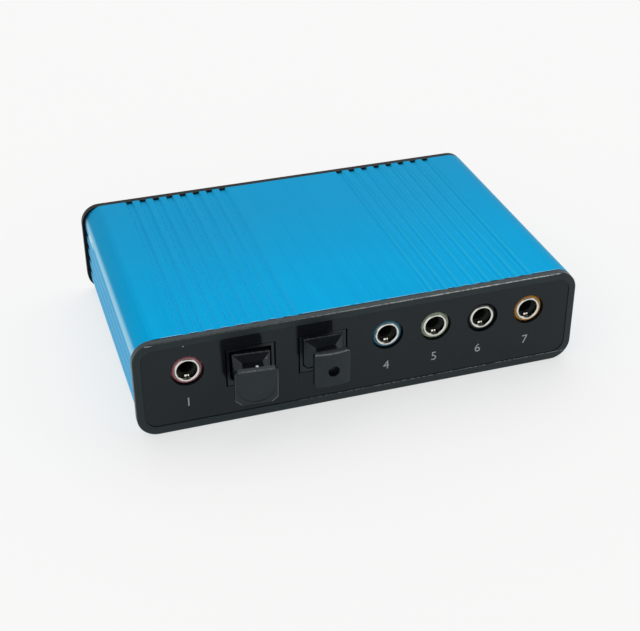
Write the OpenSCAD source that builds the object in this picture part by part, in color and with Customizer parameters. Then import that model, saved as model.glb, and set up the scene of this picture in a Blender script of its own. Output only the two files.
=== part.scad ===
// External USB sound card: an extruded aluminium sleeve closed by two moulded end caps.
// Front face towards -Y, +Z up. The origin is the middle of the case's underside.
// Lengths are in millimetres. "Depth" runs along Y and is counted from the front face.

/* [Case] */
// Width of the two end caps
case_w = 110; // [106:0.5:126]
// Depth of the closed case, front face to back face
case_d = 72.3; // [70:0.1:90]
// Height of the two end caps
case_h = 25; // [24.5:0.5:32]
// Corner radius of the end caps, seen from the front
cap_corner = 5; // [4:0.1:6]
// Thickness of an end cap where it shows round the case
cap_t = 1.85; // [1.7:0.05:2.4]
// Radius along the outer edge of the front cap
cap_edge = 0.35; // [0.15:0.05:0.5]
// Radius along the outer edge of the rear cap
rear_edge = 0.15; // [0.1:0.05:0.5]
// Width of the raised rim at the sides and the top of an end cap
rim_w = 1.8; // [1.4:0.1:2]
// Width of the raised rim along the bottom of an end cap
rim_bottom = 2.2; // [1.6:0.1:2.3]
// Drop from the rim to the face inside it
rim_step = 0.2; // [0.15:0.05:0.5]
// Corner radius inside the rim
rim_corner = 3.2; // [2.4:0.1:3.6]
// Length of the lips that locate an end cap in the sleeve
lip_len = 2.4; // [1.5:0.1:4]
// Thickness of those lips
lip_t = 1.1; // [0.8:0.1:1.3]

/* [Sleeve] */
// How far the sleeve's sides stay inside the end caps' sides
sleeve_inset = 0.4; // [0:0.05:0.8]
// How far the sleeve sits off the end caps' middle, towards +X
sleeve_offset = 0.4; // [0:0.05:0.5]
// How far the sleeve stands above and below the end caps
sleeve_proud = 0.1; // [0:0.05:0.3]
// Corner radius of the sleeve
sleeve_corner = 5; // [4:0.1:6]
// Wall thickness of the sleeve
wall_t = 1.5; // [1.2:0.1:1.8]
// Width of a groove in the sleeve's surface
groove_w = 1.95; // [1:0.05:2.5]
// Depth of a groove
groove_depth = 0.5; // [0.2:0.05:0.6]
// Distance from one groove to the next
groove_pitch = 3.66; // [3:0.02:4.2]
// Grooves in each band on the top and on the underside
band_grooves = 8; // [2:1:9]
// Distance from the sleeve's middle to the middle of a band
band_x = 29.6; // [22:0.1:31]
// Grooves on each side of the sleeve
side_grooves = 4; // [1:1:4]

/* [Connectors] */
// Height of the jacks' centre line above the middle of the case
jack_up = 3.6; // [3.2:0.05:4]
// Distance from the left side of the case to the microphone jack
mic_in = 12.5; // [12:0.05:13]
// Distance from the right side of the case to the last jack
last_jack_in = 12.3; // [12:0.05:14]
// Distance from the microphone jack to the first optical socket
mic_to_optical = 14.95; // [14:0.05:16]
// Distance between the two optical sockets
optical_pitch = 17.5; // [16:0.1:18]
// Distance from the second optical socket to the next jack
optical_to_line = 16.15; // [15:0.05:17]
// Distance from one jack to the next
jack_pitch = 12.2; // [11:0.05:12.6]
// Radius of the hole in the front for a jack
jack_hole_r = 3.95; // [3.8:0.05:4.1]
// Radius of a jack's coloured collar
collar_r = 3.55; // [3.4:0.05:3.65]
// Radius of a jack's metal bushing
bushing_r = 3; // [2.9:0.05:3.1]
// Radius of a jack's bore
bore_r = 1.8; // [1.78:0.01:1.9]
// Radius of the hole in the metal bushing
mouth_r = 2.45; // [2.3:0.05:2.6]
// Height of the optical sockets' centre line above the middle of the case
optical_up = 2.35; // [2.3:0.05:2.7]
// Width of the opening in the front for an optical socket
optical_open_w = 12.05; // [11.8:0.05:12.3]
// Height of the opening in the front for an optical socket
optical_open_h = 10.2; // [10.1:0.05:10.3]
// Distance from the right side of the case to the USB socket
usb_in = 27; // [20:0.5:40]

/* [Dust plugs] */
// Width of the first plug's shank
first_shank_w = 8.9; // [8.4:0.05:9]
// Width of the second plug's shank
second_shank_w = 9.6; // [9:0.05:9.7]
// How far the first plug's grip reaches in front of the case
first_reach = 7.2; // [6:0.1:9]
// How far the second plug's grip reaches in front of the case
second_reach = 7.6; // [6:0.1:9]
// Turn of the first plug about the vertical, as it sits loosely
first_yaw = 5; // [0:0.1:5.5]
// Droop of the first plug
first_droop = 6.5; // [0:0.1:7]
// Turn of the second plug about the vertical
second_yaw = 0; // [0:0.1:3]
// Droop of the second plug
second_droop = 1; // [0:0.1:2]

/* [Board] */
// Height of the jacks' centre line above the circuit board
jack_over_board = 6.45; // [6.3:0.05:6.7]
// Thickness of the circuit board
board_t = 1.6; // [1:0.1:1.6]
// Height of a can capacitor
can_h = 5.4; // [4:0.1:6]

/* [Hidden] */
$fn = 64;

// Clearances
fit = 0.05;
loose = 0.15;
slide = 0.2;
// How far shapes of one piece run into each other, and how far they keep off a shared face
weld = 0.2;
seam = 0.01;
// Facets of small rods, soft corners and the wide bow
rod_fn = 24;
corner_fn = 32;
bow_fn = 128;

// Case
sleeve_w = case_w - 2 * sleeve_inset;
sleeve_h = case_h + 2 * sleeve_proud;
sleeve_front = cap_t;
sleeve_back = case_d - cap_t;
inner_w = sleeve_w - 2 * wall_t;
inner_h = sleeve_h - 2 * wall_t;
inner_corner = sleeve_corner - wall_t;
mid_z = sleeve_h / 2;
jack_z = mid_z + jack_up;
optical_z = mid_z + optical_up;
board_top = jack_z - jack_over_board;
groove_taper = 0.42;

// Screws and the channels they cut into
screw_r = 1.2;
screw_head_r = 2.2;
screw_len = 8;
screw_point_r = 0.3;
screw_turn = 20;
screw_in_x = 5;
screw_in_z = 5.2;
channel_wall = 0.8;
channel_slot = 0.9;
channel_web = 1.6;
cross_len = 2.4;
cross_w = 0.6;
cross_depth = 0.6;
SCREW_X = [-(sleeve_w / 2 - screw_in_x), sleeve_w / 2 - screw_in_x];
SCREW_Z = [screw_in_z, sleeve_h - screw_in_z];

// Printed overlay that lies inside the front cap's rim
fascia_t = 0.25;
fascia_gap = 0.1;
face_y = rim_step;
seat_y = rim_step + fascia_t;
face_w = case_w - 2 * rim_w;
face_h = case_h - rim_w - rim_bottom;
face_z = sleeve_proud + rim_bottom + face_h / 2;
lip_gap = 1;
lip_w = 2 * (sleeve_w / 2 - screw_in_x - screw_r - channel_wall - sleeve_offset - lip_gap);

// Circuit board and its rails
rail_t = 1;
rail_reach = 2.5;
board_gap = 0.9;
board_w = inner_w - 2 * board_gap;
board_inset = 1.1;
board_front = sleeve_front + board_inset;
board_back = sleeve_back - board_inset;
board_bottom = board_top - board_t;
tail_len = 1.2;
tail_end = board_bottom - tail_len;

// Jacks
// Width left over is shared by the six distances between the sockets.
taken_w = mic_in + mic_to_optical + optical_pitch + optical_to_line + 3 * jack_pitch + last_jack_in;
spread = (case_w - taken_w) / 6;
mic_x = -case_w / 2 + mic_in;
first_optical_x = mic_x + mic_to_optical + spread;
OPTICAL_X = [first_optical_x, first_optical_x + optical_pitch + spread];
line_x = OPTICAL_X[1] + optical_to_line + spread;
JACK_X = concat([mic_x], [for (i = [0 : 3]) line_x + i * (jack_pitch + spread)]);
JACK_COLOUR = [
    [0.62, 0.38, 0.42], [0.25, 0.45, 0.55], [0.5, 0.58, 0.45], [0.06, 0.07, 0.08], [0.8, 0.5, 0.12]
];
jack_w = 9;
jack_h = 11.6;
jack_seat = 0.75;
jack_len = 13.8;
jack_front = cap_t + jack_seat;
jack_back = jack_front + jack_len;
collar_in = 0.4;
collar_y = face_y + collar_in;
collar_edge = 0.3;
flange_r = 4.3;
flange_t = 0.5;
bushing_proud = 0.15;
bushing_y = collar_y - bushing_proud;
bushing_len = 3.9;
bushing_edge = 0.12;
core_r = mouth_r - fit;
core_len = 0.6;
core_y = jack_front - core_len;
sink_w = 0.4;
sink_r = bore_r + sink_w;
sink_depth = 0.5;
jack_end_t = 0.9;
barrel_end = jack_back - jack_end_t;
slot_w = 1.2;
leaf_w = 1;
leaf_t = 0.3;
leaf_gap = 0.4;
leaf_off = bore_r + leaf_gap;
PRONGS = [[-0.5, 0.05], [0.25, 0.55]];
prong_len = 0.45;
prong_y = core_y - prong_len;
prong_lean = 0.1;
prong_out = mouth_r - slide;
prong_t = 0.2;
prong_in = prong_out - prong_t;
prong_tip = bore_r + fit;
tail_hole_r = 0.65;
tail_gap = 0.3;
back_tail_y = jack_back + tail_gap;
mid_tail_in = 8;
mid_tail_y = jack_front + mid_tail_in;
front_tail_y = bushing_y + bushing_len + loose;
top_leaf_in = 1.5;
top_leaf_y = front_tail_y + top_leaf_in;
low_leaf_len = 2.5;
low_leaf_y = mid_tail_y - low_leaf_len;
slot_cut = 0.3;
slot_room = 0.8;
low_slot_gap = 1.5;
peg_r = 0.6;
peg_x = 3;
peg_in = 6;
peg_y = jack_front + peg_in;

// Optical sockets
nose_side_gap = 0.375;
nose_top_gap = 0.15;
nose_y = face_y + fit;
nose_w = optical_open_w - 2 * nose_side_gap;
nose_h = optical_open_h - 2 * nose_top_gap;
cavity_w = 10;
cavity_h = 8.5;
cavity_key = 1.2;
cavity_end = 8.2;
optical_w = 12.4;
optical_seat = 0.4;
optical_front = cap_t + optical_seat;
optical_back = 12.8;
optical_h = 10.7;
light_r = 1.6;
element_w = 7;
element_h = 6.2;
element_front = 9.9;
element_t = 2.4;
lens_in = 0.4;
pin_pitch = 2.54;
pin_w = 0.5;
pin_hole_r = 0.45;
element_pin_y = element_front + element_t / 2;
optical_peg_x = 4.5;
optical_peg_y = 6;

// Dust plugs
plug_pivot_y = 3.1;
plug_shank_end = 5.4;
shank_y = 0.2;
plug_edge = 0.25;
stem_w = 4.8;
slope_len = 1.7;
ferrule_r = 1.2;
ferrule_len = 2;
slope_key = 0.5;
back_len = 1.7;
back_in = 0.3;
first_shank_h = 7.4;
first_x = 0.3;
first_grip_w = 10.1;
first_grip_h = 10.1;
first_grip_t = 1.2;
first_grip_z = -0.45;
first_top_r = 1;
first_cut = 1.4;
first_mark_r = 4.5;
first_mark_z = 0.2;
first_mark_depth = 0.08;
second_shank_h = 8.2;
second_x = 0.1;
second_z = 0.05;
second_grip_w = 8.7;
second_grip_h = 9.1;
second_grip_t = 1.7;
second_grip_x = -0.1;
second_grip_z = -0.15;
second_corner_r = 0.7;
second_bulge_r = 17;
second_hole_r = 1.4;
second_hole_depth = 1.5;
second_hole_x = 0.2;
second_hole_z = -0.5;

// USB socket
usb_x = case_w / 2 - usb_in;
usb_w = 12;
usb_h = 10.9;
usb_wall = 0.4;
usb_corner_r = 0.6;
usb_proud = 0.15;
usb_front = case_d - rim_step + usb_proud;
usb_len = 15.8;
usb_z = board_top + usb_h / 2;
usb_block_in = 0.6;
usb_gap = 0.25;
usb_open_w = usb_w + 2 * usb_gap;
usb_open_h = usb_h + 2 * usb_gap;
port_w = 8.5;
port_h = 7.8;
port_key = 1.6;
port_depth = 9.4;
tongue_w = 5.6;
tongue_h = 3.2;
tongue_len = 8.7;
blade_w = 1;
blade_t = 0.25;
blade_x = 1.25;
blade_slot_in = 0.6;
blade_in = 0.8;
usb_tab_w = 2.4;
usb_tab_in = 6;
usb_tab_y = usb_front - usb_tab_in;
usb_tab_hole_r = 1.35;
usb_tail_gap = 0.9;

// Parts on the board
can_start = 38;
can_pitch = 11;
CAN_X = [for (i = [0 : 7]) -can_start + i * can_pitch];
can_y = 25;
can_r = 2.5;
can_edge = 0.3;
can_sink = 0.1;
can_foot = 0.2;
can_base = 5.3;
can_base_t = 0.8;
chip_x = -8;
chip_y = 40;
chip_w = 7;
chip_t = 1.4;
chip_lift = 0.1;
chip_legs = 12;
chip_leg_pitch = 0.5;
leg_len = 1;
leg_t = 0.15;
memory_x = 8;
memory_y = 40;
crystal_x = -22;
crystal_y = 42;
regulator_in = 12.2;
regulator_x = board_w / 2 - regulator_in;
regulator_w = 6.6;
regulator_d = 3.6;
regulator_t = 1.6;
regulator_pitch = 2.3;
regulator_leg_w = 0.7;
regulator_tab_w = 3;
memory_w = 3.9;
memory_d = 4.9;
memory_legs = 4;
memory_pitch = 1.27;
memory_leg_w = 0.42;
chip_leg_w = 0.22;
crystal_r = 2.3;
crystal_half = 3.4;
crystal_h = 3.5;
crystal_base_w = 11.5;
crystal_base_d = 5;
crystal_base_r = 2.4;
crystal_base_t = 0.5;
leg_root = 0.2;
leg_shoulder = 0.3;
leg_heel = 0.5;
regulator_y = 45;
chip_row_start = 44;
chip_row_pitch = 8;
CHIP_ROW = [for (i = [0 : 11]) -chip_row_start + i * chip_row_pitch];
chip_row_y = 32;
small_w = 2;
small_d = 1.2;
small_t = 0.8;

// Basic shapes. A profile drawn on X and Y2 stands up in X and Z.
module along_y(y0, y1) {
    translate([0, y1, 0]) rotate([90, 0, 0]) linear_extrude(y1 - y0) children();
}

module along_x(x0, x1) {
    translate([x0, 0, 0]) rotate([90, 0, 90]) linear_extrude(x1 - x0) children();
}

module rod_y(r, y0, y1) {
    translate([0, y1, 0]) rotate([90, 0, 0]) cylinder(r = r, h = y1 - y0);
}

module block(x0, x1, y0, y1, z0, z1) {
    translate([x0, y0, z0]) cube([x1 - x0, y1 - y0, z1 - z0]);
}

module round_rect(w, h, r) {
    square([w - 2 * r, h], center = true);
    square([w, h - 2 * r], center = true);
    for (sx = [-1, 1], sz = [-1, 1]) {
        translate([sx * (w / 2 - r), sz * (h / 2 - r)]) circle(r);
    }
}

// A rectangle with its two lower corners cut off.
module keyed_rect(w, h, key) {
    polygon([
        [-w / 2 + key, -h / 2], [w / 2 - key, -h / 2], [w / 2, -h / 2 + key],
        [w / 2, h / 2], [-w / 2, h / 2], [-w / 2, -h / 2 + key]
    ]);
}

// One corner of a rounded slab, as a solid of revolution.
module slab_corner(r, t, e) {
    rotate([-90, 0, 0]) rotate_extrude() {
        square([r - e, t]);
        translate([0, e]) square([r, t - e]);
        translate([r - e, e]) circle(e);
    }
}

module cross_rect(w, h, r) {
    square([w - 2 * r, h], center = true);
    square([w, h - 2 * r], center = true);
}

// Rounded slab from y = 0 to y = t, with a round edge of radius e at y = 0.
module soft_slab(w, h, r, t, e) {
    along_y(e, t) cross_rect(w, h, r);
    along_y(0, e) cross_rect(w - 2 * e, h - 2 * e, r - e);
    for (s = [-1, 1]) {
        translate([-w / 2 + r, e, s * (h / 2 - e)]) rotate([0, 90, 0]) cylinder(r = e, h = w - 2 * r);
        translate([s * (w / 2 - e), e, -h / 2 + r]) cylinder(r = e, h = h - 2 * r);
        for (sx = [-1, 1]) translate([sx * (w / 2 - r), 0, s * (h / 2 - r)]) slab_corner(r, t, e);
    }
}

// How far a grip's foremost corner reaches in front of the case.
function reach(len, half_w, half_h, yaw, droop) =
    ((len + plug_pivot_y) * cos(droop) + half_h * sin(droop)) * cos(yaw) + half_w * sin(yaw) - plug_pivot_y;
first_half_w = first_grip_w / 2 - first_top_r;
first_half_h = first_grip_h / 2 - plug_edge + first_grip_z;
second_half_h = second_grip_h / 2 + second_grip_z;
front_reach = max(
    reach(first_reach, first_half_w, first_half_h, first_yaw, first_droop),
    reach(second_reach, 0, second_half_h, second_yaw, second_droop)
);

// Everything is drawn with y counted from the front face, then moved to the part's frame.
module placed() {
    translate([0, (front_reach - case_d) / 2, 0]) children();
}

// Sleeve
module groove() {
    polygon([
        [-groove_w / 2, 1], [-groove_w / 2, 0], [-groove_w / 2 + groove_taper, -groove_depth],
        [groove_w / 2 - groove_taper, -groove_depth], [groove_w / 2, 0], [groove_w / 2, 1]
    ]);
}

module sleeve_grooves() {
    for (side = [-1, 1], i = [0 : band_grooves - 1]) {
        x = side * band_x + (i - (band_grooves - 1) / 2) * groove_pitch;
        translate([x, sleeve_h / 2]) groove();
        translate([x, -sleeve_h / 2]) rotate(180) groove();
    }
    for (side = [-1, 1], i = [0 : side_grooves - 1]) {
        z = (i - (side_grooves - 1) / 2) * groove_pitch;
        translate([side * sleeve_w / 2, z]) rotate(-side * 90) groove();
    }
}

module screw_channels() {
    for (x = SCREW_X, z = SCREW_Z) {
        side = sign(x);
        translate([x, z - mid_z]) {
            circle(screw_r + fit + channel_wall);
            translate([side * (screw_in_x - wall_t) / 2, 0])
                square([screw_in_x - wall_t + weld, channel_web], center = true);
        }
    }
}

module channel_bores() {
    for (x = SCREW_X, z = SCREW_Z) {
        translate([x, z - mid_z]) {
            circle(screw_r + fit);
            translate([-sign(x) * (screw_r + channel_wall), 0])
                square([2 * screw_r + channel_wall, channel_slot], center = true);
        }
    }
}

module board_rails() {
    for (side = [-1, 1], z = [board_bottom - rail_t, board_top + slide]) {
        translate([side * (inner_w / 2 - (rail_reach - weld) / 2), z + rail_t / 2 - mid_z])
            square([rail_reach + weld, rail_t], center = true);
    }
}

module housing_sleeve() {
    color([0.08, 0.6, 0.83]) placed() translate([sleeve_offset, 0, mid_z])
        along_y(sleeve_front, sleeve_back) difference() {
            union() {
                difference() {
                    round_rect(sleeve_w, sleeve_h, sleeve_corner);
                    sleeve_grooves();
                    round_rect(inner_w, inner_h, inner_corner);
                }
                screw_channels();
                board_rails();
            }
            channel_bores();
        }
}

// End caps. Both are drawn with their outer face at y = 0.
module cap_shell(edge) {
    translate([0, 0, mid_z]) difference() {
        soft_slab(case_w, case_h, cap_corner, cap_t, edge);
        translate([0, 0, face_z - mid_z]) along_y(-1, rim_step) round_rect(face_w, face_h, rim_corner);
    }
}

module cap_lips() {
    for (side = [-1, 1]) {
        translate([sleeve_offset, 0, mid_z + side * (inner_h / 2 - slide - lip_t / 2)])
            block(-lip_w / 2, lip_w / 2, cap_t - weld, cap_t + lip_len, -lip_t / 2, lip_t / 2);
    }
}

module screw_hole(head_y) {
    rod_y(screw_r + loose, head_y - 1, cap_t + 1);
    translate([0, head_y, 0]) rotate([-90, 0, 0])
        cylinder(r1 = screw_head_r + fit, r2 = screw_r + fit, h = screw_head_r - screw_r);
    rod_y(screw_head_r + fit, head_y - 1, head_y);
}

// Room behind an end cap for a connector's body, where its lips would meet the body.
module body_room(x, w, y, h) {
    block(x - w / 2 - slide, x + w / 2 + slide, y - slide, cap_t + lip_len + 1,
        board_bottom - slide, board_top + h + slide);
}

module front_cap() {
    color([0.1, 0.11, 0.12]) placed() difference() {
        union() {
            cap_shell(cap_edge);
            cap_lips();
        }
        translate([0, 0, face_z]) along_y(-1, seat_y)
            round_rect(face_w - 2 * fascia_gap, face_h - 2 * fascia_gap, rim_corner - fascia_gap);
        for (x = JACK_X) translate([x, 0, jack_z]) rod_y(jack_hole_r, -1, cap_t + 1);
        for (x = OPTICAL_X) translate([x, 0, optical_z])
            along_y(-1, cap_t + 1) square([optical_open_w, optical_open_h], center = true);
        for (x = JACK_X) body_room(x, jack_w, jack_front, jack_h);
        for (x = OPTICAL_X) body_room(x, optical_w, optical_front, optical_h);
        for (x = SCREW_X, z = SCREW_Z) translate([x + sleeve_offset, 0, z]) screw_hole(seat_y);
    }
}

module front_fascia() {
    edge = fascia_gap + fit;
    color([0.13, 0.14, 0.16]) placed() difference() {
        translate([0, 0, face_z]) along_y(face_y, seat_y)
            round_rect(face_w - 2 * edge, face_h - 2 * edge, rim_corner - edge);
        for (x = JACK_X) translate([x, 0, jack_z]) rod_y(jack_hole_r, -1, cap_t);
        for (x = OPTICAL_X) translate([x, 0, optical_z])
            along_y(-1, cap_t + 1) square([optical_open_w, optical_open_h], center = true);
    }
}

module rear_cap() {
    color([0.1, 0.11, 0.12]) placed() translate([0, case_d, 0]) mirror([0, 1, 0]) difference() {
        union() {
            cap_shell(rear_edge);
            cap_lips();
        }
        translate([usb_x, 0, usb_z])
            block(-usb_open_w / 2, usb_open_w / 2, -1, cap_t + lip_len + 1, -usb_open_h / 2, usb_open_h / 2);
        for (x = SCREW_X, z = SCREW_Z) translate([x + sleeve_offset, 0, z]) screw_hole(rim_step);
    }
}

// Countersunk screw with a cross recess: its head's face is at y = 0 and it points to +Y.
module cap_screw() {
    difference() {
        rotate([-90, 0, 0]) rotate_extrude() polygon([
            [0, 0], [screw_head_r, 0], [screw_r, screw_head_r - screw_r],
            [screw_r, screw_len - screw_r], [screw_point_r, screw_len], [0, screw_len]
        ]);
        for (a = [0, 90]) rotate([0, a, 0])
            block(-cross_len / 2, cross_len / 2, -1, cross_depth, -cross_w / 2, cross_w / 2);
    }
}

module front_screws() {
    color([0.7, 0.7, 0.72]) placed() for (x = SCREW_X, z = SCREW_Z) {
        translate([x + sleeve_offset, seat_y, z]) cap_screw();
    }
}

module rear_screws() {
    color([0.7, 0.7, 0.72]) placed() translate([0, case_d, 0]) mirror([0, 1, 0])
        for (x = SCREW_X, z = SCREW_Z) {
            translate([x + sleeve_offset, rim_step, z]) rotate([0, screw_turn, 0]) cap_screw();
        }
}

// Circuit board
module board_hole(x, y, r) {
    translate([x, y, board_bottom - 1]) cylinder(r = r, h = board_t + 2, $fn = rod_fn);
}

module main_board() {
    color([0.05, 0.35, 0.2]) placed() difference() {
        block(-board_w / 2, board_w / 2, board_front, board_back, board_bottom, board_top);
        for (x = JACK_X) {
            for (y = [front_tail_y, mid_tail_y, back_tail_y]) board_hole(x, y + leaf_t / 2, tail_hole_r);
            for (s = [-1, 1]) board_hole(x + s * peg_x, peg_y, peg_r + loose);
        }
        for (x = OPTICAL_X) {
            for (i = [-1 : 1]) board_hole(x + i * pin_pitch, element_pin_y, pin_hole_r);
            for (s = [-1, 1]) board_hole(x + s * optical_peg_x, optical_peg_y, peg_r + loose);
        }
        for (s = [-1, 1]) {
            board_hole(usb_x + s * (usb_w / 2 - usb_wall / 2), usb_tab_y, usb_tab_hole_r);
            for (row = [0, 1]) board_hole(usb_x + s * blade_x, usb_tail_y(row) + blade_t / 2, tail_hole_r);
        }
    }
}

// Jacks
module turned(i) {
    translate([JACK_X[i], 0, jack_z]) rotate([-90, 0, 0]) rotate_extrude() children();
}

// Coloured collar that shows in the front, with a flange behind the front cap.
module jack_collar(i) {
    color(JACK_COLOUR[i]) placed() turned(i) polygon([
        [bushing_r + fit, collar_y], [collar_r - collar_edge, collar_y], [collar_r, collar_y + collar_edge],
        [collar_r, jack_front - flange_t], [flange_r, jack_front - flange_t],
        [flange_r, jack_front], [bushing_r + fit, jack_front]
    ]);
}

module jack_bushing(i) {
    color([0.75, 0.74, 0.7]) placed() turned(i) polygon([
        [mouth_r + bushing_edge, bushing_y], [bushing_r - bushing_edge, bushing_y],
        [bushing_r, bushing_y + bushing_edge], [bushing_r, bushing_y + bushing_len],
        [mouth_r, bushing_y + bushing_len], [mouth_r, bushing_y + bushing_edge]
    ]);
}

// Dark housing: a core with the bore in it stands inside the bushing.
module jack_body(i) {
    color([0.06, 0.07, 0.08]) placed() difference() {
        translate([JACK_X[i], 0, 0]) {
            block(-jack_w / 2, jack_w / 2, jack_front, jack_back, board_top, board_top + jack_h);
            translate([0, 0, jack_z]) rod_y(core_r, core_y, jack_front + weld);
            for (s = [-1, 1]) translate([s * peg_x, peg_y, board_bottom])
                cylinder(r = peg_r, h = board_t + weld, $fn = rod_fn);
        }
        turned(i) polygon([
            [core_r, jack_front - 0.1], [bushing_r + fit, jack_front - 0.1],
            [bushing_r + fit, bushing_y + bushing_len + fit], [core_r, bushing_y + bushing_len + fit]
        ]);
        turned(i) polygon([
            [0, core_y - 0.1], [sink_r, core_y - 0.1], [sink_r, core_y], [bore_r, core_y + sink_depth],
            [bore_r, barrel_end], [0, barrel_end]
        ]);
        translate([JACK_X[i], 0, jack_z]) {
            block(-slot_w / 2, slot_w / 2, top_leaf_y - 2 * loose, jack_back + 1,
                bore_r - slot_cut, leaf_off + slot_room);
            block(-slot_w / 2, slot_w / 2, front_tail_y - loose, barrel_end - low_slot_gap,
                -jack_z, -bore_r + slot_cut);
            block(-slot_w / 2, slot_w / 2, core_y - 1, front_tail_y, -core_r - 0.1, -prong_in + fit);
        }
    }
}

// Three spring leaves, each with a tail that goes through the board. The front one has two prongs
// that show in the mouth of the bushing.
module jack_contacts(i) {
    color([0.8, 0.65, 0.35]) placed() translate([JACK_X[i], 0, 0]) {
        along_x(-leaf_w / 2, leaf_w / 2) polygon([
            [top_leaf_y, jack_z + leaf_off], [back_tail_y, jack_z + leaf_off],
            [back_tail_y, tail_end], [back_tail_y + leaf_t, tail_end],
            [back_tail_y + leaf_t, jack_z + leaf_off + leaf_t], [top_leaf_y, jack_z + leaf_off + leaf_t]
        ]);
        along_x(-leaf_w / 2, leaf_w / 2) polygon([
            [low_leaf_y, jack_z - leaf_off - leaf_t], [mid_tail_y, jack_z - leaf_off - leaf_t],
            [mid_tail_y, tail_end], [mid_tail_y + leaf_t, tail_end],
            [mid_tail_y + leaf_t, jack_z - leaf_off], [low_leaf_y, jack_z - leaf_off]
        ]);
        block(-leaf_w / 2, leaf_w / 2, front_tail_y, front_tail_y + leaf_t,
            tail_end, jack_z - prong_in);
        for (p = PRONGS) along_x(p[0], p[1]) polygon([
            [front_tail_y + leaf_t, jack_z - prong_out], [prong_y, jack_z - prong_out],
            [prong_y + prong_lean, jack_z - prong_tip],
            [prong_y + prong_lean + leaf_t / 2, jack_z - prong_tip],
            [prong_y + leaf_t, jack_z - prong_in], [front_tail_y + leaf_t, jack_z - prong_in]
        ]);
    }
}

// Optical sockets
module optical_housing(i) {
    color([0.14, 0.15, 0.16]) placed() translate([OPTICAL_X[i], 0, optical_z]) difference() {
        union() {
            block(-optical_w / 2, optical_w / 2, optical_front, optical_back,
                board_top - optical_z, board_top - optical_z + optical_h);
            along_y(nose_y, optical_front + weld) square([nose_w, nose_h], center = true);
            for (s = [-1, 1]) translate([s * optical_peg_x, optical_peg_y, board_bottom - optical_z])
                cylinder(r = peg_r, h = board_t + weld, $fn = rod_fn);
        }
        along_y(nose_y - 1, cavity_end) keyed_rect(cavity_w, cavity_h, cavity_key);
        rod_y(light_r, cavity_end - 1, optical_back);
        block(-element_w / 2 - loose, element_w / 2 + loose, element_front - loose, optical_back + 1,
            -optical_z, element_h / 2 + loose);
    }
}

// Sealed light element with a lens and three leads.
module optical_element(i) {
    color([0.25, 0.1, 0.12]) placed() translate([OPTICAL_X[i], 0, optical_z]) {
        along_y(element_front, element_front + element_t) square([element_w, element_h], center = true);
        translate([0, element_front + lens_in, 0]) intersection() {
            sphere(r = light_r - loose);
            block(-light_r, light_r, -light_r, 0, -light_r, light_r);
        }
        for (k = [-1 : 1]) translate([k * pin_pitch, element_pin_y, 0])
            block(-pin_w / 2, pin_w / 2, -pin_w / 2, pin_w / 2, tail_end - optical_z, 0);
    }
}

// Dust plugs. Each is drawn about its pivot, which is inside the socket's mouth.
// Four-sided block that narrows from w by h at y = wide to the stem's size at y = narrow.
module taper(w, h, wide, narrow) {
    intersection() {
        translate([0, 0, -h / 2]) linear_extrude(h) polygon([
            [-w / 2, wide], [w / 2, wide], [stem_w / 2, narrow], [-stem_w / 2, narrow]
        ]);
        along_x(-w / 2, w / 2) polygon([
            [wide, -h / 2], [wide, h / 2], [narrow, stem_w / 2], [narrow, -stem_w / 2]
        ]);
    }
}

// Ferrule, shank, the four slopes down to the stem, the stem, and the sloped back of the grip.
module plug_shank(w, h, grip_w, grip_h, grip_z, back) {
    shank_end = plug_shank_end - plug_pivot_y;
    wide = shank_y - plug_pivot_y;
    along_y(wide, shank_end) keyed_rect(w, h, cavity_key);
    rod_y(ferrule_r, shank_end - 0.1, shank_end + ferrule_len);
    intersection() {
        taper(w, h - 2 * seam, wide + seam, wide - slope_len);
        along_y(wide - slope_len - 1, wide + 1) keyed_rect(w + 1, h, cavity_key + slope_key);
    }
    along_y(back - weld, wide) square([stem_w, stem_w], center = true);
    translate([0, 0, grip_z]) taper(grip_w - 2 * back_in, grip_h - 2 * back_in, back, back + back_len);
}

module soft_corners(w, h, top_r, bottom_cut) {
    hull() {
        for (s = [-1, 1]) translate([s * (w / 2 - top_r), h / 2 - top_r]) circle(top_r, $fn = corner_fn);
        translate([0, -h / 2]) polygon([
            [-w / 2, bottom_cut], [-w / 2 + bottom_cut, 0], [w / 2 - bottom_cut, 0], [w / 2, bottom_cut]
        ]);
    }
}

// First plug: a square grip with cut lower corners and a round dished mark on its face.
module dust_plug_in() {
    front = -first_reach - plug_pivot_y;
    color([0.15, 0.16, 0.17]) placed()
        translate([OPTICAL_X[0] + first_x, plug_pivot_y, optical_z]) rotate([first_droop, 0, -first_yaw]) {
            plug_shank(first_shank_w, first_shank_h, first_grip_w, first_grip_h, first_grip_z,
                front + first_grip_t);
            translate([0, 0, first_grip_z]) difference() {
                hull() {
                    along_y(front, front + 0.1) soft_corners(first_grip_w - 2 * plug_edge,
                        first_grip_h - 2 * plug_edge, first_top_r - plug_edge, first_cut);
                    along_y(front + plug_edge, front + first_grip_t)
                        soft_corners(first_grip_w, first_grip_h, first_top_r, first_cut);
                }
                translate([0, 0, first_mark_z]) rod_y(first_mark_r, front - 1, front + first_mark_depth);
            }
        }
}

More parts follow.
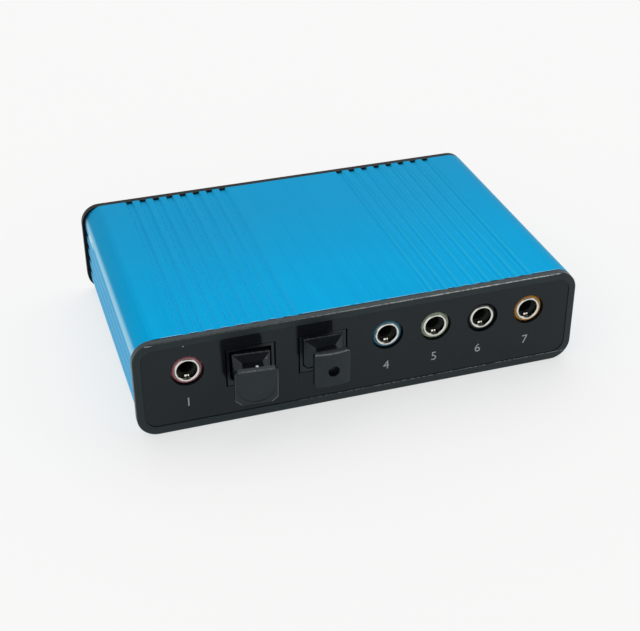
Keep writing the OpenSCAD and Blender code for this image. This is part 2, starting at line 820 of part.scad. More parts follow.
// Second plug: a narrower grip with a bowed face and a round hole in it.
module dust_plug_out() {
    front = -second_reach - plug_pivot_y;
    color([0.15, 0.16, 0.17]) placed()
        translate([OPTICAL_X[1] + second_x, plug_pivot_y, optical_z + second_z])
        rotate([second_droop, 0, -second_yaw]) difference() {
            union() {
                plug_shank(second_shank_w, second_shank_h, second_grip_w, second_grip_h, second_grip_z,
                    front + second_grip_t);
                translate([second_grip_x, 0, second_grip_z]) intersection() {
                    along_y(front, front + second_grip_t)
                        round_rect(second_grip_w, second_grip_h, second_corner_r);
                    translate([0, front + second_bulge_r, -second_grip_h])
                        cylinder(r = second_bulge_r, h = 2 * second_grip_h, $fn = bow_fn);
                }
            }
            translate([second_grip_x + second_hole_x, 0, second_grip_z + second_hole_z])
                rod_y(second_hole_r, front - 1, front + second_hole_depth);
        }
}

// USB socket, type B
module port_outline(w, h, key) {
    rotate(180) keyed_rect(w, h, key);
}

module usb_shell() {
    back = usb_front - usb_len;
    color([0.78, 0.78, 0.76]) placed() translate([usb_x, 0, usb_z]) {
        difference() {
            along_y(back, usb_front) round_rect(usb_w, usb_h, usb_corner_r);
            along_y(back - 1, usb_front - usb_wall)
                square([usb_w - 2 * usb_wall, usb_h - 2 * usb_wall], center = true);
            along_y(usb_front - 1, usb_front + 1) port_outline(port_w, port_h, port_key);
        }
        for (s = [-1, 1]) translate([s * (usb_w - usb_wall) / 2, usb_tab_y, 0])
            block(-usb_wall / 2, usb_wall / 2, -usb_tab_w / 2, usb_tab_w / 2, tail_end - usb_z, 0);
    }
}

// Distance of the blades' tails behind the socket: the upper pair is further back.
function usb_tail_y(row) = usb_front - usb_len - usb_tail_gap * (1 + row);

module usb_insulator() {
    face = usb_front - usb_wall - fit;
    back = usb_front - usb_len + usb_block_in;
    floor_y = face - port_depth;
    color([0.9, 0.9, 0.88]) placed() translate([usb_x, 0, usb_z]) difference() {
        union() {
            difference() {
                along_y(back, face)
                    square([usb_w - 2 * usb_wall - 2 * fit, usb_h - 2 * usb_wall - 2 * fit], center = true);
                along_y(floor_y, face + 1) port_outline(port_w, port_h, port_key);
            }
            along_y(floor_y - weld, floor_y + tongue_len) square([tongue_w, tongue_h], center = true);
        }
        for (sx = [-1, 1], sz = [-1, 1]) translate([sx * blade_x, 0, sz * (tongue_h / 2 - blade_t / 2)])
            block(-blade_w / 2 - fit, blade_w / 2 + fit, back - 1, floor_y + tongue_len - blade_slot_in,
                -blade_t / 2 - fit, blade_t / 2 + fit);
    }
}

module usb_contacts() {
    tip = usb_front - usb_wall - fit - port_depth + tongue_len - blade_in;
    color([0.85, 0.68, 0.3]) placed() for (sx = [-1, 1], row = [0, 1]) {
        z = usb_z + (row == 0 ? -1 : 1) * (tongue_h / 2 - blade_t / 2);
        translate([usb_x + sx * blade_x, 0, 0]) along_x(-blade_w / 2, blade_w / 2) polygon([
            [tip, z - blade_t / 2], [usb_tail_y(row) + blade_t, z - blade_t / 2],
            [usb_tail_y(row) + blade_t, tail_end], [usb_tail_y(row), tail_end],
            [usb_tail_y(row), z + blade_t / 2], [tip, z + blade_t / 2]
        ]);
    }
}

// Parts on the board
// A bent leg that reaches out along +X from x = 0, with its foot on the board.
module bent_leg(w, rise) {
    translate([0, w / 2, 0]) rotate([90, 0, 0]) linear_extrude(w) polygon([
        [-leg_root, rise], [leg_shoulder, rise], [leg_heel, 0], [leg_len, 0], [leg_len, leg_t],
        [leg_heel + leg_t, leg_t], [leg_shoulder + leg_t, rise + leg_t], [-leg_root, rise + leg_t]
    ]);
}

module chip(w, d, t, legs, pitch, leg_w, sides) {
    block(-w / 2, w / 2, -d / 2, d / 2, chip_lift, chip_lift + t);
    for (side = [0 : sides - 1], i = [0 : legs - 1]) {
        turn = side * 360 / sides;
        rotate(turn) translate([w / 2, (i - (legs - 1) / 2) * pitch, 0]) bent_leg(leg_w, t / 2);
    }
}

module audio_chip() {
    color([0.1, 0.1, 0.11]) placed() translate([chip_x, chip_y, board_top])
        chip(chip_w, chip_w, chip_t, chip_legs, chip_leg_pitch, chip_leg_w, 4);
}

module memory_chip() {
    color([0.1, 0.1, 0.11]) placed() translate([memory_x, memory_y, board_top])
        chip(memory_w, memory_d, chip_t, memory_legs, memory_pitch, memory_leg_w, 2);
}

module crystal_can() {
    color([0.75, 0.75, 0.74]) placed() translate([crystal_x, crystal_y, board_top]) {
        for (s = [-1, 1]) translate([s * crystal_half, 0, 0]) cylinder(r = crystal_r, h = crystal_h);
        block(-crystal_half, crystal_half, -crystal_r, crystal_r, 0, crystal_h);
        linear_extrude(crystal_base_t) round_rect(crystal_base_w, crystal_base_d, crystal_base_r);
    }
}

module voltage_regulator() {
    color([0.1, 0.1, 0.11]) placed() translate([regulator_x, regulator_y, board_top]) {
        block(-regulator_w / 2, regulator_w / 2, -regulator_d / 2, regulator_d / 2,
            chip_lift, chip_lift + regulator_t);
        for (i = [-1 : 1]) translate([i * regulator_pitch, -regulator_d / 2, 0])
            rotate(-90) bent_leg(regulator_leg_w, regulator_t / 2);
        translate([0, regulator_d / 2, 0]) rotate(90) bent_leg(regulator_tab_w, regulator_t / 2);
    }
}

module can_capacitors() {
    color([0.75, 0.75, 0.76]) placed() for (x = CAN_X) translate([x, can_y, board_top]) {
        block(-can_base / 2, can_base / 2, -can_base / 2, can_base / 2, 0, can_base_t);
        rotate_extrude() polygon([
            [0, can_base_t - can_sink], [can_r - can_edge, can_base_t - can_sink],
            [can_r, can_base_t + can_foot],
            [can_r, can_h - can_edge], [can_r - can_edge, can_h], [0, can_h]
        ]);
    }
}

module chip_capacitors() {
    color([0.6, 0.5, 0.38]) placed() for (x = CHIP_ROW) translate([x, chip_row_y, board_top])
        block(-small_w / 2, small_w / 2, -small_d / 2, small_d / 2, 0, small_t);
}

housing_sleeve();
front_cap();
front_fascia();
front_screws();
rear_cap();
rear_screws();
main_board();
jack_body(0);  // mic_jack_body
jack_body(1);  // line_jack_body
jack_body(2);  // front_jack_body
jack_body(3);  // rear_jack_body
jack_body(4);  // bass_jack_body
jack_collar(0);  // mic_jack_collar
jack_collar(1);  // line_jack_collar
jack_collar(2);  // front_jack_collar
jack_collar(3);  // rear_jack_collar
jack_collar(4);  // bass_jack_collar
jack_bushing(0);  // mic_jack_bushing
jack_bushing(1);  // line_jack_bushing
jack_bushing(2);  // front_jack_bushing
jack_bushing(3);  // rear_jack_bushing
jack_bushing(4);  // bass_jack_bushing
jack_contacts(0);  // mic_jack_contacts
jack_contacts(1);  // line_jack_contacts
jack_contacts(2);  // front_jack_contacts
jack_contacts(3);  // rear_jack_contacts
jack_contacts(4);  // bass_jack_contacts
optical_housing(0);  // optical_in_housing
optical_housing(1);  // optical_out_housing
optical_element(0);  // optical_in_element
optical_element(1);  // optical_out_element
dust_plug_in();
dust_plug_out();
usb_shell();
usb_insulator();
usb_contacts();
audio_chip();
memory_chip();
crystal_can();
voltage_regulator();
can_capacitors();
chip_capacitors();
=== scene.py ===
"""Looks of the USB sound card: finishes, printed numbers, light and camera."""
import math

import bpy
import numpy as np
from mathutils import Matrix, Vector


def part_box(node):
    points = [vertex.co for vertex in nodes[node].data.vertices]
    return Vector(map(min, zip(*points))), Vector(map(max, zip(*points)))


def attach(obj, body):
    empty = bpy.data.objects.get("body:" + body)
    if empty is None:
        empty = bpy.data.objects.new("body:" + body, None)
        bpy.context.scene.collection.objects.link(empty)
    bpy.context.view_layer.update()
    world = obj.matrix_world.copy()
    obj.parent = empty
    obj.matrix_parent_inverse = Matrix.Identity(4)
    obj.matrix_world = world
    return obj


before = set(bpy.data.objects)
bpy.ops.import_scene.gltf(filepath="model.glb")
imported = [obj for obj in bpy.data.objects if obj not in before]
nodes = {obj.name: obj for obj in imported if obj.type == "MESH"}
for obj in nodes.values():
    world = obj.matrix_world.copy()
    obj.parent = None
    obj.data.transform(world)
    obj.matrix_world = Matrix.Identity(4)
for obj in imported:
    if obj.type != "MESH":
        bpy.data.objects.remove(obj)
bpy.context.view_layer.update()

MM = 0.001


# Shader arithmetic

class Val:
    """One output of a material's nodes, with arithmetic on it."""

    def __init__(self, mat, out):
        self.mat = mat
        self.out = out

    def calc(self, op, *others):
        return self.mat.calc(op, self, *others)

    def __add__(self, o):
        return self.calc("ADD", o)

    def __radd__(self, o):
        return self.calc("ADD", o)

    def __sub__(self, o):
        return self.calc("SUBTRACT", o)

    def __rsub__(self, o):
        return self.mat.calc("SUBTRACT", o, self)

    def __mul__(self, o):
        return self.calc("MULTIPLY", o)

    def __truediv__(self, o):
        return self.calc("DIVIDE", o)

    def abs(self):
        return self.calc("ABSOLUTE")

    def max(self, o):
        return self.calc("MAXIMUM", o)

    def step(self, lo, hi):
        """0 below lo and 1 above hi, with a soft rise between them."""
        return self.mat.ramp(self, lo, hi, 0.0, 1.0)

    def near(self, lo, hi):
        """1 where it is closer to 0 than lo and 0 beyond hi, with a soft fall between them."""
        return 1.0 - self.abs().step(lo, hi)


class Finish:
    """A material whose nodes are added by calls; lengths are in millimetres of the object's own space."""

    def __init__(self, name, **constants):
        self.m = bpy.data.materials.new(name)
        self.m.use_nodes = True
        self.tree = self.m.node_tree
        self.shader = self.tree.nodes["Principled BSDF"]
        self.out = self.tree.nodes["Material Output"]
        for k, v in constants.items():
            self.set(k, v)
        at = self.node("ShaderNodeTexCoord")
        scale = self.node("ShaderNodeVectorMath", operation="SCALE")
        self.tree.links.new(at.outputs["Object"], scale.inputs[0])
        scale.inputs["Scale"].default_value = 1000.0
        self.place = Val(self, scale.outputs[0])
        split = self.node("ShaderNodeSeparateXYZ")
        self.tree.links.new(scale.outputs[0], split.inputs[0])
        self.x, self.y, self.z = (Val(self, split.outputs[i]) for i in range(3))

    def node(self, kind, **settings):
        n = self.tree.nodes.new(kind)
        for k, v in settings.items():
            setattr(n, k, v)
        return n

    def feed(self, socket, value):
        if isinstance(value, Val):
            self.tree.links.new(value.out, socket)
        else:
            socket.default_value = value

    def set(self, name, value):
        key = name.replace("_", " ").title().replace("Ior", "IOR")
        if key == "Specular Level":
            key = "Specular IOR Level"
        if isinstance(value, tuple) and len(value) == 3:
            value = (*value, 1.0)
        self.feed(self.shader.inputs[key], value)

    def calc(self, op, *args):
        n = self.node("ShaderNodeMath", operation=op)
        for i, a in enumerate(args):
            self.feed(n.inputs[i], a)
        return Val(self, n.outputs[0])

    def ramp(self, v, lo, hi, a, b):
        n = self.node("ShaderNodeMapRange", interpolation_type="SMOOTHSTEP")
        for key, x in (("Value", v), ("From Min", lo), ("From Max", hi), ("To Min", a), ("To Max", b)):
            self.feed(n.inputs[key], x)
        return Val(self, n.outputs["Result"])

    def noise(self, size, detail=2.0, stretch=(1, 1, 1), rough=0.5):
        """Soft noise from 0 to 1 with features of about that size, drawn out by the stretch."""
        m = self.node("ShaderNodeMapping")
        self.feed(m.inputs["Vector"], self.place)
        m.inputs["Scale"].default_value = [1 / (size * s) for s in stretch]
        n = self.node("ShaderNodeTexNoise")
        self.tree.links.new(m.outputs[0], n.inputs["Vector"])
        n.inputs["Scale"].default_value = 1.0
        n.inputs["Detail"].default_value = detail
        n.inputs["Roughness"].default_value = rough
        return Val(self, n.outputs["Fac"])

    def cells(self, size, shift=0.0):
        """Distance from the nearest of points scattered that far apart."""
        m = self.node("ShaderNodeMapping")
        self.feed(m.inputs["Vector"], self.place)
        m.inputs["Location"].default_value = (shift, shift, shift)
        m.inputs["Scale"].default_value = [1 / size] * 3
        n = self.node("ShaderNodeTexVoronoi")
        self.tree.links.new(m.outputs[0], n.inputs["Vector"])
        n.inputs["Scale"].default_value = 1.0
        return Val(self, n.outputs["Distance"])

    def along(self, way, place):
        """Distance from that place in the given direction."""
        n = self.node("ShaderNodeVectorMath", operation="SUBTRACT")
        self.feed(n.inputs[0], self.place)
        n.inputs[1].default_value = place
        dot = self.node("ShaderNodeVectorMath", operation="DOT_PRODUCT")
        self.tree.links.new(n.outputs[0], dot.inputs[0])
        dot.inputs[1].default_value = way
        return Val(self, dot.outputs["Value"])

    def mix(self, t, a, b):
        """Colour a where t is 0 and colour b where it is 1."""
        n = self.node("ShaderNodeMix", data_type="RGBA")
        self.feed(n.inputs["Factor"], t)
        for i, c in ((6, a), (7, b)):
            self.feed(n.inputs[i], (*c, 1.0) if isinstance(c, tuple) else c)
        return Val(self, n.outputs[2])

    def bump(self, height, depth_mm):
        n = self.node("ShaderNodeBump")
        n.inputs["Strength"].default_value = 1.0
        n.inputs["Distance"].default_value = depth_mm * MM
        self.feed(n.inputs["Height"], height)
        self.tree.links.new(n.outputs[0], self.shader.inputs["Normal"])

    def spot(self, x, y, z, rx, ry, rz):
        """1 in the middle of an ellipsoid at that place and 0 outside it."""
        dx, dy, dz = (self.x - x) / rx, (self.y - y) / ry, (self.z - z) / rz
        far = (dx * dx + dy * dy + dz * dz).calc("SQRT")
        return 1.0 - far.step(0.6, 1.0)


def box_mm(name):
    lo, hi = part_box(name)
    return np.array(lo) / MM, np.array(hi) / MM


# Where the front face and the case's edges are, in millimetres
cap_lo, cap_hi = box_mm("front_cap")
sleeve_lo, sleeve_hi = box_mm("housing_sleeve")
front_y = cap_lo[1]
cap_bottom = cap_lo[2]
face_front = box_mm("front_fascia")[0][1]
left_x = cap_lo[0]
sleeve_middle = (sleeve_lo[0] + sleeve_hi[0]) / 2
sleeve_half = (sleeve_hi[0] - sleeve_lo[0]) / 2
side_middle = (sleeve_lo[2] + sleeve_hi[2]) / 2

# The sleeve's grooves: the middle and half width of a band, the step from groove to groove, the
# foot and top of a groove's wall from its middle, and the half height of the side's grooves
BAND_X = 29.6
BAND_HALF = 14.6
GROOVE_PITCH = 3.66
WALL_FOOT = 0.53
WALL_TOP = 1.0
SIDE_HALF = 7.2

# Height of the front cap's rim along its bottom
RIM_BOTTOM = 2.2

# Places of single marks, from the case's lower left front corner; the mark on the front cap's upper left
# corner is a painted glint
CHIP = (0.8, 61.5, 19.2)
CHIP_CORE = (0.6, 60.4, 18.3)
CORNER_GLINT = (3.9, 0.0, 24.6)
SPECK = (11.9, 0.5, 23.0)

# Tint of the shine on dark plastic
COOL = (0.75, 0.98, 1.0)


def at(x, y, z):
    """A place measured from the case's lower left front corner, as part coordinates."""
    return left_x + x, front_y + y, cap_bottom + z


# Finishes

def anodised():
    """Blue dyed sleeve with painted highlights on its groove walls and sides, painted shade along its
    groove edges, in its side grooves and towards the rear, a cut edge and a chip.
    """
    f = Finish("blue anodised aluminium", metallic=1.0)
    streak = f.noise(0.5, 3.0, (1, 160, 1), 0.6)
    cloud = f.noise(26)
    grain = f.noise(0.16, 1.0)
    # Painted shade: the sleeve's colour darkens from the front to the rear.
    length = f.y.step(sleeve_lo[1] + 2, sleeve_hi[1] - 8)
    base = f.mix(length, (0.0, 0.325, 0.61), (0.008, 0.262, 0.50))
    base = f.mix(cloud.step(0.3, 0.7) * 0.5, base, (0.002, 0.285, 0.54))
    base = f.mix(streak.step(0.35, 0.75) * 0.3, base, (0.0, 0.255, 0.50))
    across = (f.x - sleeve_middle).abs()
    band = (across - BAND_X).near(BAND_HALF - 0.1, BAND_HALF + 0.1)
    turn = (across - BAND_X) / GROOVE_PITCH
    off = (turn - turn.calc("FLOOR") - 0.5) * GROOVE_PITCH
    # Painted highlight on the groove walls of the top bands, weaker on the outer walls and towards the
    # rear.
    wall = off.abs().step(WALL_FOOT - 0.03, WALL_FOOT + 0.03) * off.near(WALL_TOP - 0.03, WALL_TOP + 0.03)
    outer = (off * (f.x - sleeve_middle)).step(-0.1, 0.1)
    painted_wall_highlight = wall * band * (1.0 - outer * 0.42) * (1.0 - length * 0.3)
    base = f.mix(painted_wall_highlight, base, (0.03, 0.53, 0.83))
    # Painted shade: a dark line along the top of each outer groove wall, stronger towards the rear.
    painted_lip_shade = outer * (off.abs() - WALL_TOP + 0.01).near(0.05, 0.14) * (0.16 + length * 0.24)
    base = f.mix(painted_lip_shade * band, base, (0.0, 0.13, 0.26))
    side = across.step(sleeve_half - 0.8, sleeve_half)
    # Painted sheen: both sides are paler.
    base = f.mix(side, base, (0.11, 0.41, 0.68))
    # Painted shade in the grooves of the sides.
    tier = (f.z - side_middle) / GROOVE_PITCH
    drop = (tier - tier.calc("FLOOR") - 0.5) * GROOVE_PITCH
    painted_groove_shade = (drop - 0.68).near(0.25, 0.4) * (f.z - side_middle).near(SIDE_HALF - 0.1, SIDE_HALF + 0.1)
    base = f.mix(side * painted_groove_shade * 0.5, base, (0.03, 0.22, 0.42))
    # Painted highlight: a pale band along the upper part of the left side.
    painted_side_highlight_z = 18.5 + (f.y - front_y) * 0.028
    painted_side_highlight = side * (f.z - painted_side_highlight_z).step(0.0, 1.0) * (sleeve_middle - f.x).step(0.0, 1.0)
    base = f.mix(painted_side_highlight * 0.75, base, (0.55, 0.77, 0.88))
    cut = (1.0 - (f.y - sleeve_lo[1]).step(0.14, 0.24)) * f.noise(2.6).step(0.38, 0.5)
    chip = f.spot(*at(*CHIP), 2.6, 4.4, 2.0) * f.noise(0.9).step(0.36, 0.44)
    base = f.mix((cut * 0.2).max(chip), base, (0.93, 0.92, 0.9))
    base = f.mix(f.spot(*at(*CHIP_CORE), 1.0, 0.8, 0.5), base, (0.12, 0.07, 0.05))
    f.set("Base Color", base)
    f.set("Roughness", 0.36 + streak * 0.08 + cloud * 0.03)
    f.set("Specular Tint", (0.6, 0.92, 1.0))
    f.bump(grain * 0.5 + streak, 0.006)
    return f.m


def cap_plastic(name, spec, highlight_strength):
    """Dark plastic of an end cap; its last argument sets how strong the painted highlight along its top
    front edge, the rim's inner bottom edge and its upper left corner is.
    """
    f = Finish(name, ior=1.48, specular_level=spec)
    grain = f.noise(0.22)
    cloud = f.noise(9)
    base = f.mix(cloud.step(0.3, 0.7), (0.006, 0.0085, 0.0105), (0.009, 0.0115, 0.0135))
    dots = f.noise(0.7).step(0.42, 0.55)
    # Painted highlight along the top front edge, stronger to the right, along the inner bottom edge of
    # the rim and on the upper left corner.
    edge = 1.0 - (f.y - front_y + (cap_hi[2] - f.z).max(0.0)).step(0.225, 0.265)
    painted_edge_highlight = edge * (0.12 + f.x.step(-35, 35) * 0.88) * (0.5 + dots * 0.5)
    inner_edge = (f.z - cap_bottom - RIM_BOTTOM + 0.08).near(0.07, 0.13)
    inner_edge = inner_edge * (1.0 - (f.y - front_y).step(0.1, 0.2))
    painted_edge_highlight = painted_edge_highlight.max(inner_edge * dots * f.x.step(-25, 0) * 0.35)
    painted_edge_highlight = painted_edge_highlight.max(f.spot(*at(*CORNER_GLINT), 1.1, 0.5, 0.16) * 0.5)
    f.set("Base Color", f.mix(painted_edge_highlight * highlight_strength, base, (0.58, 0.6, 0.59)))
    f.set("Specular Tint", COOL)
    f.set("Roughness", 0.32 + cloud * 0.08 + grain * 0.04)
    f.bump(grain, 0.010)
    return f.m


def overlay():
    """Glossy printed sheet on the front cap, with a little dust."""
    f = Finish("glossy dark overlay", ior=1.5, specular_level=0.28)
    cloud = f.noise(14)
    dust = 1.0 - f.cells(2.3).step(0.03, 0.05)
    speck = f.spot(*at(*SPECK), 0.35, 0.6, 0.3)
    dark = f.mix(cloud.step(0.3, 0.7), (0.0058, 0.0072, 0.0085), (0.0070, 0.0086, 0.0100))
    f.set("Specular Tint", (0.76, 0.93, 1.0))
    f.set("Base Color", f.mix((dust * 0.10).max(speck), dark, (0.35, 0.38, 0.38)))
    f.set("Roughness", 0.09 + cloud * 0.04 + dust * 0.2)
    f.bump(f.noise(3.0, 1.0), 0.004)
    return f.m


def moulded(name, a, b, rough, grain_mm=0.008, spec=0.5, tint=(1.0, 1.0, 1.0)):
    """Moulded plastic whose colour wanders between a and b."""
    f = Finish(name, specular_level=spec, specular_tint=tint)
    cloud = f.noise(2.5)
    grain = f.noise(0.2)
    f.set("Base Color", f.mix(cloud.step(0.3, 0.7), a, b))
    f.set("Roughness", rough + cloud * 0.08)
    f.bump(grain, grain_mm)
    return f.m


# Each dust plug's turn about its pivot, where the top front edges of its grip and shank are, and how
# strong the painted highlight along them is
PLUGS = (
    dict(pivot=(27.75, 3.1, 14.85), yaw=5.0, droop=6.5, front=-10.3, grip_top=4.6, bow=0.0,
         shank_top=3.7, highlight_strength=0.6),
    dict(pivot=(45.05, 3.1, 14.90), yaw=0.0, droop=1.0, front=-10.7, grip_top=4.4, bow=0.029,
         shank_top=4.1, highlight_strength=0.45),
)
SHANK_FACE = -2.9
PLUG_HALF = 5.6

# Place, size and strength of each painted glint on the plugs
PAINTED_GLINTS = (
    ((28.0, -3.47, 16.5), 0.42, 1.0),
    ((31.0, -1.3, 16.75), 0.4, 0.35),
    ((40.9, -7.0, 19.1), 0.4, 0.1),
)


def plug_plastic():
    """Dark plastic of the dust plugs, with painted highlights along their upper edges and painted glints.
    """
    f = Finish("dark plug plastic", specular_level=0.36, specular_tint=(0.76, 0.95, 1.0))
    cloud = f.noise(2.5)
    grain = f.noise(0.2)
    base = f.mix(cloud.step(0.3, 0.7), (0.005, 0.0065, 0.0085), (0.0075, 0.0092, 0.0115))
    for plug in PLUGS:
        yaw = math.radians(plug["yaw"])
        droop = math.radians(plug["droop"])
        cy, sy, cd, sd = math.cos(yaw), math.sin(yaw), math.cos(droop), math.sin(droop)
        pivot = at(*plug["pivot"])
        lx = f.along((cy, -sy, 0), pivot)
        ly = f.along((sy * cd, cy * cd, sd), pivot)
        lz = f.along((-sy * sd, -cy * sd, cd), pivot)
        # Painted highlight along the top front edges of each plug's grip and shank.
        grip = (ly - plug["front"] - lx * lx * plug["bow"]).abs() + (lz - plug["grip_top"]).abs()
        shank = (ly - SHANK_FACE).abs() + (lz - plug["shank_top"]).abs()
        painted_edge_highlight = ((1.0 - grip.step(0.22, 0.3)) * plug["highlight_strength"]).max((1.0 - shank.step(0.2, 0.3)) * 0.3)
        painted_edge_highlight = painted_edge_highlight * lx.near(PLUG_HALF - 0.2, PLUG_HALF + 0.2)
        painted_edge_highlight = painted_edge_highlight * (0.5 + f.noise(0.6).step(0.4, 0.55) * 0.5)
        base = f.mix(painted_edge_highlight, base, (0.26, 0.28, 0.28))
    # Painted glints on the plugs.
    for place, size, strength in PAINTED_GLINTS:
        base = f.mix(f.spot(*at(*place), size, size, size) * strength, base, (0.9, 0.92, 0.92))
    f.set("Base Color", base)
    f.set("Roughness", 0.24 + cloud * 0.08)
    f.bump(grain, 0.006)
    return f.m


def metal(name, colour, rough, stretch=(1, 1, 1)):
    """Bare metal of that colour, a little tarnished in places."""
    f = Finish(name, metallic=1.0)
    brush = f.noise(0.12, 2.0, stretch)
    cloud = f.noise(1.6, 3.0)
    f.set("Base Color", f.mix(cloud.step(0.55, 0.8) * 0.35, colour, (0.3, 0.25, 0.18)))
    f.set("Roughness", rough + brush * 0.12)
    f.bump(brush, 0.004)
    return f.m


def board_green():
    """Green board with curving tracks and bare pads."""
    f = Finish("solder mask", ior=1.5)
    lane = (f.y * 0.5 + (f.x * 0.13 + f.noise(18, 1.0) * 14).calc("SINE") * 0.6)
    track = (lane - lane.calc("ROUND")).abs().step(0.14, 0.2)
    pad = 1.0 - f.cells(3.1, 0.4).step(0.10, 0.13)
    base = f.mix(track, (0.012, 0.15, 0.06), (0.006, 0.085, 0.035))
    f.set("Base Color", f.mix(pad, base, (0.55, 0.5, 0.38)))
    f.set("Metallic", pad * 0.9)
    f.set("Roughness", 0.3 + f.noise(5) * 0.12)
    f.bump(1.0 - track, 0.03)
    return f.m


def paint(name, material):
    slots = nodes[name].data.materials
    slots.clear()
    slots.append(material)


paint("housing_sleeve", anodised())
paint("front_cap", cap_plastic("satin dark plastic", 0.42, 0.8))
paint("rear_cap", cap_plastic("rear cap plastic", 0.08, 0.0))
paint("front_fascia", overlay())
paint("main_board", board_green())
steel = metal("nickelled steel", (0.72, 0.72, 0.68), 0.15)
leaf = metal("tinned spring brass", (0.95, 0.9, 0.78), 0.12)
screw = metal("zinc plated steel", (0.55, 0.56, 0.57), 0.3)
inner = moulded("black jack plastic", (0.010, 0.0125, 0.0105), (0.013, 0.0155, 0.0135), 0.45, 0.006, 0.2)
COLLARS = {
    "mic": ((0.34, 0.13, 0.15), (0.42, 0.17, 0.19)),
    "line": ((0.035, 0.14, 0.21), (0.055, 0.19, 0.27)),
    "front": ((0.27, 0.33, 0.23), (0.33, 0.39, 0.28)),
    "rear": ((0.006, 0.008, 0.009), (0.010, 0.012, 0.013)),
    "bass": ((0.42, 0.19, 0.025), (0.52, 0.25, 0.04)),
}
for jack, (a, b) in COLLARS.items():
    paint(jack + "_jack_collar", moulded(jack + " jack plastic", a, b, 0.32))
    paint(jack + "_jack_body", inner)
    paint(jack + "_jack_bushing", steel)
    paint(jack + "_jack_contacts", leaf)
socket = moulded("dark socket plastic", (0.004, 0.0055, 0.0065), (0.008, 0.010, 0.012), 0.26, 0.008,
                 0.4, COOL)
plug = plug_plastic()
lens = moulded("light element plastic", (0.05, 0.01, 0.015), (0.08, 0.015, 0.02), 0.12)
for way in ("in", "out"):
    paint("optical_%s_housing" % way, socket)
    paint("optical_%s_element" % way, lens)
    paint("dust_plug_" + way, plug)
for end in ("front", "rear"):
    paint(end + "_screws", screw)
paint("usb_shell", metal("nickelled USB shell", (0.66, 0.65, 0.62), 0.25, (6, 1, 1)))
paint("usb_insulator", moulded("pale insulator", (0.62, 0.62, 0.58), (0.7, 0.69, 0.65), 0.4))
paint("usb_contacts", metal("gilt contacts", (0.9, 0.66, 0.3), 0.2))
chip = moulded("chip epoxy", (0.012, 0.012, 0.013), (0.02, 0.02, 0.021), 0.55)
for name in ("audio_chip", "memory_chip", "voltage_regulator"):
    paint(name, chip)
paint("crystal_can", metal("crystal can steel", (0.6, 0.6, 0.58), 0.28))
paint("can_capacitors", metal("capacitor cans", (0.74, 0.74, 0.75), 0.3))
paint("chip_capacitors", moulded("brown ceramic", (0.32, 0.2, 0.11), (0.4, 0.27, 0.16), 0.45))


# Printed numbers

# Where the numbers stand across the front, their height above the case's underside and their size
NUMBER_X = (12.3, 27.0, 44.5, 60.9, 73.2, 84.7, 97.3)
NUMBER_Z = 7.6
NUMBER_HEIGHT = 2.3

# Height of a figure in a type of size 1, and the ink's half thickness and how far out it sits
FIGURE_HEIGHT = 0.69
INK_HALF = 0.008
INK_OUT = 0.004


def print_mark(words, x, z, height):
    """A thin printed mark on the overlay, centred on x and z measured from the case's corner."""
    curve = bpy.data.curves.new("mark", "FONT")
    curve.body = words
    curve.size = height * MM / FIGURE_HEIGHT
    curve.align_x = "CENTER"
    curve.align_y = "BOTTOM_BASELINE"
    curve.extrude = INK_HALF * MM
    holder = bpy.data.objects.new("mark", curve)
    bpy.context.collection.objects.link(holder)
    bpy.context.view_layer.update()
    mesh = bpy.data.meshes.new_from_object(holder.evaluated_get(bpy.context.evaluated_depsgraph_get()))
    bpy.data.objects.remove(holder)
    co = np.zeros(len(mesh.vertices) * 3)
    mesh.vertices.foreach_get("co", co)
    co = co.reshape(-1, 3)
    px, _, pz = at(x, 0, z)
    across = co[:, 0] + px * MM
    outwards = face_front * MM - INK_OUT * MM - co[:, 2]
    upwards = co[:, 1] + (pz - height / 2) * MM
    faces = [tuple(p.vertices) for p in mesh.polygons]
    bpy.data.meshes.remove(mesh)
    return np.stack([across, outwards, upwards], 1), faces


def mesh_piece(name, parts, material):
    """One piece made of several meshes, painted and riding on the case."""
    verts, faces, start = [], [], 0
    for v, f in parts:
        verts.append(v)
        faces += [tuple(i + start for i in q) for q in f]
        start += len(v)
    mesh = bpy.data.meshes.new(name)
    mesh.from_pydata(np.concatenate(verts).tolist(), [], faces)
    mesh.materials.append(material)
    o = bpy.data.objects.new(name, mesh)
    bpy.context.collection.objects.link(o)
    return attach(o, "root")


ink = moulded("grey ink", (0.28, 0.31, 0.33), (0.36, 0.39, 0.41), 0.5, 0.003)
marks = [print_mark(str(i + 1), x, NUMBER_Z, NUMBER_HEIGHT) for i, x in enumerate(NUMBER_X)]
mesh_piece("printed_numbers", marks, ink)


# Floor, light and camera

# Half width of the floor in metres, and the share of it that glows by itself for the camera
FLOOR_HALF = 4.0
FLOOR_GLOW = 0.64


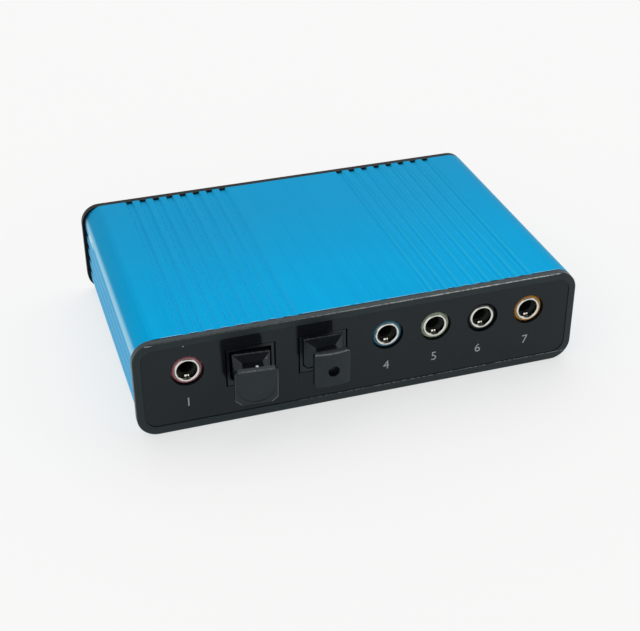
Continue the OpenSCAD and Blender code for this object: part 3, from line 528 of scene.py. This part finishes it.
def floor():
    """A plain pale floor that keeps the shadow."""
    f = Finish("floor", specular_level=0.15, roughness=0.55)
    f.set("Base Color", f.mix(f.noise(60).step(0.3, 0.7), (0.98, 0.93, 0.925), (0.99, 0.935, 0.93)))
    ray = f.node("ShaderNodeLightPath")
    seen = [Val(f, ray.outputs[k]) for k in ("Is Camera Ray", "Is Glossy Ray", "Is Transmission Ray")]
    glow = f.node("ShaderNodeEmission")
    glow.inputs["Color"].default_value = (0.97, 0.998, 0.993, 1.0)
    mix = f.node("ShaderNodeMixShader")
    f.feed(mix.inputs[0], (seen[0].max(seen[1]).max(seen[2])) * FLOOR_GLOW)
    f.tree.links.new(f.shader.outputs[0], mix.inputs[1])
    f.tree.links.new(glow.outputs[0], mix.inputs[2])
    f.tree.links.new(mix.outputs[0], f.out.inputs["Surface"])
    s = FLOOR_HALF
    mesh = bpy.data.meshes.new("floor")
    mesh.from_pydata([(-s, -s, 0), (s, -s, 0), (s, s, 0), (-s, s, 0)], [], [(0, 1, 2, 3)])
    mesh.materials.append(f.m)
    o = bpy.data.objects.new("floor", mesh)
    bpy.context.collection.objects.link(o)


floor()


def sky():
    """An even white surround with one soft dark patch above the camera."""
    world = bpy.data.worlds.new("studio")
    bpy.context.scene.world = world
    world.use_nodes = True
    tree = world.node_tree
    back = tree.nodes["Background"]
    back.inputs["Color"].default_value = (1.0, 1.0, 1.0, 1.0)
    way = tree.nodes.new("ShaderNodeTexCoord")
    dot = tree.nodes.new("ShaderNodeVectorMath")
    dot.operation = "DOT_PRODUCT"
    dot.inputs[1].default_value = Vector((0.26, -0.51, 0.82)).normalized()
    tree.links.new(way.outputs["Generated"], dot.inputs[0])
    ramp = tree.nodes.new("ShaderNodeMapRange")
    ramp.interpolation_type = "SMOOTHSTEP"
    for key, x in (("From Min", 0.78), ("From Max", 0.92), ("To Min", 1.02), ("To Max", 0.12)):
        ramp.inputs[key].default_value = x
    tree.links.new(dot.outputs["Value"], ramp.inputs["Value"])
    tree.links.new(ramp.outputs["Result"], back.inputs["Strength"])


sky()

sun = bpy.data.lights.new("window", "SUN")
sun.energy = 0.3
sun.angle = math.radians(50)
o = bpy.data.objects.new("window", sun)
o.rotation_euler = (math.radians(-28), math.radians(16), 0)
bpy.context.collection.objects.link(o)

# The camera's place from the case's lower left front corner, its turn in degrees and its lens
CAMERA = (-32.263, -242.923, 184.671)
CAMERA_TURN = (57.8846, 0.3596, -17.7268)
CAMERA_LENS = 73.438
PICTURE_WIDTH = 640
HALF_PIXEL = 0.5 / PICTURE_WIDTH

camera = bpy.data.cameras.new("camera")
camera.sensor_width = 36
camera.lens = CAMERA_LENS
camera.shift_x = -HALF_PIXEL
camera.shift_y = HALF_PIXEL
camera.clip_start = 0.01
o = bpy.data.objects.new("camera", camera)
o.location = [v * MM for v in at(*CAMERA)]
o.rotation_euler = [math.radians(a) for a in CAMERA_TURN]
bpy.context.collection.objects.link(o)
bpy.context.scene.camera = o
bpy.context.scene.view_settings.view_transform = "Standard"
